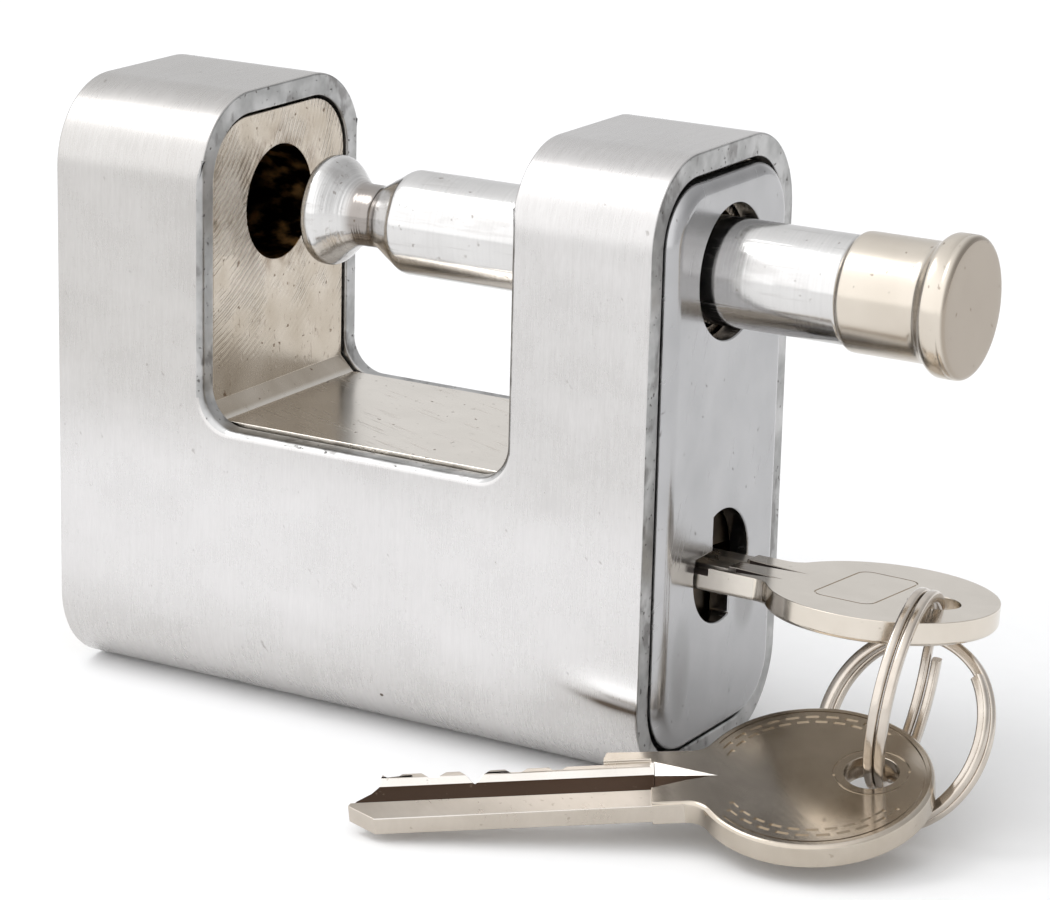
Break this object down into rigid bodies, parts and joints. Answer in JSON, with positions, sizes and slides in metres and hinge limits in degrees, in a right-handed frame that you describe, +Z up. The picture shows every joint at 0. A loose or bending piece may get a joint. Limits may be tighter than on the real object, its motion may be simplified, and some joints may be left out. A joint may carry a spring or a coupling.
{
  "type": "sliding shackle padlock with keys",
  "caption": "Steel-jacketed padlock with a straight bolt that slides through both legs of its body, unlocked with one key in the plug and a spare key on linked split rings.",
  "frame": {"origin": "centre of the jacket's flat bottom face, on the surface the lock stands on", "axes": "+X along the bolt towards the key end, +Y from the front face to the rear face, +Z up"},
  "size_m": [0.0967, 0.0497, 0.0588],
  "materials": {
    "jacket_steel": "satin brushed, lightly worn, with one burnished dent",
    "plated_body": "nickel plated, milled and lightly scratched",
    "plate_steel": "polished hardened steel with a pillowed rim",
    "bolt_steel": "polished, with fine turning lines",
    "cap_nickel": "warm nickel plate",
    "bare_brass": "machined",
    "inner_steel": "plain",
    "key_nickel": "nickel silver, polished by use",
    "ring_steel": "nickel plated spring wire"
  },
  "bodies": {
    "lock": {"jacket": "jacket_steel", "lock_body": "plated_body", "end_plate": "plate_steel", "plate_pin_upper": "inner_steel", "plate_pin_lower": "inner_steel", "driver_pin_1": "bare_brass", "driver_pin_2": "bare_brass", "driver_pin_3": "bare_brass", "driver_pin_4": "bare_brass", "driver_pin_5": "bare_brass", "pin_spring_1": "inner_steel", "pin_spring_2": "inner_steel", "pin_spring_3": "inner_steel", "pin_spring_4": "inner_steel", "pin_spring_5": "inner_steel", "chamber_strip": "bare_brass", "pawl_spring": "inner_steel", "stop_ball": "inner_steel", "stop_spring": "inner_steel"},
    "bolt": {"shackle_bolt": "bolt_steel", "bolt_cap": "cap_nickel"},
    "plug_and_key": {"plug": "bare_brass", "key_pin_1": "bare_brass", "key_pin_2": "bare_brass", "key_pin_3": "bare_brass", "key_pin_4": "bare_brass", "key_pin_5": "bare_brass", "tailpiece": "inner_steel", "lock_key": "key_nickel", "spare_key": "key_nickel", "front_key_ring": "ring_steel", "rear_key_ring": "ring_steel"},
    "pawl": {"locking_pawl": "inner_steel"}
  },
  "joints": [
    {"name": "bolt_slide", "type": "slide", "parent": "lock", "child": "bolt", "axis": [1, 0, 0], "range_m": [-0.0204, 0.0279]},
    {"name": "key_turn", "type": "hinge", "parent": "lock", "child": "plug_and_key", "pos_m": [0.018, 0, 0.0191], "axis": [1, 0, 0], "range_deg": [0, 96]},
    {"name": "pawl_slide", "type": "slide", "parent": "lock", "child": "pawl", "axis": [0, 0, 1], "range_m": [0, 0.00519], "deforming": ["pawl_spring"]}
  ],
  "couplings": [
    {"joint": "key_turn", "follows": "pawl_slide", "rad_per_m": 322.5}
  ]
}
